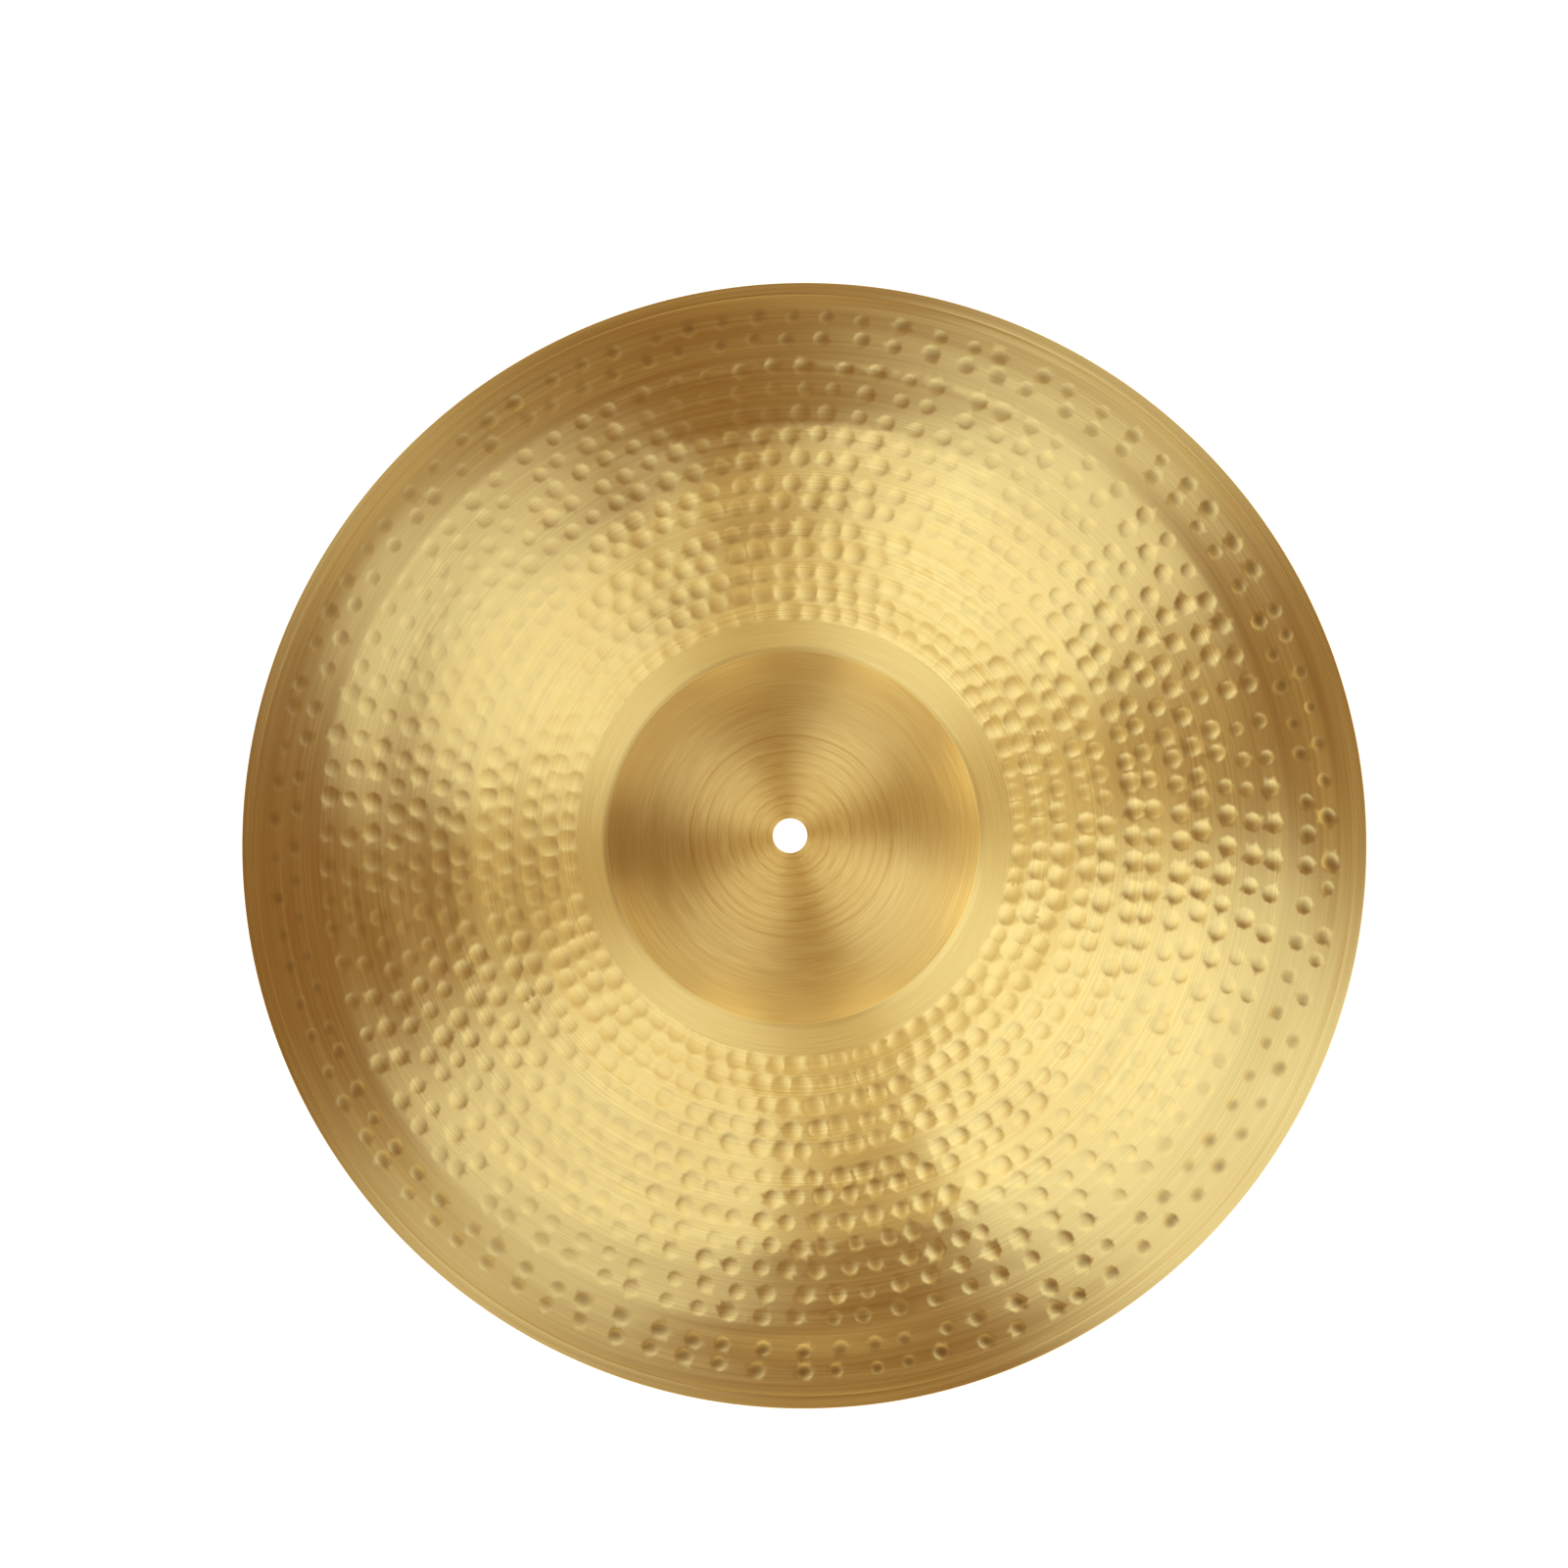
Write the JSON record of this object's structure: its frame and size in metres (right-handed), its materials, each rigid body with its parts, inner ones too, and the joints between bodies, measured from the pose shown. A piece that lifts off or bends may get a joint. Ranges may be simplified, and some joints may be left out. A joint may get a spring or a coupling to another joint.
{
  "type": "crash cymbal",
  "caption": "Thin domed metal disc with a raised bell and a central hole, hammered and lathed, struck to sound while it hangs on a stand.",
  "frame": {"origin": "centre of the circle that the rim rests on, with the cymbal lying rim down", "axes": "+Z along the cymbal's axis, out of the top of the bell; the cymbal is the same all round, so +X and +Y are free"},
  "size_m": [0.4064, 0.4064, 0.0417],
  "materials": {
    "cymbal_brass": "lathed in fine circles and hammered, bright gold"
  },
  "bodies": {
    "root": {"cymbal": "cymbal_brass"}
  },
  "joints": []
}
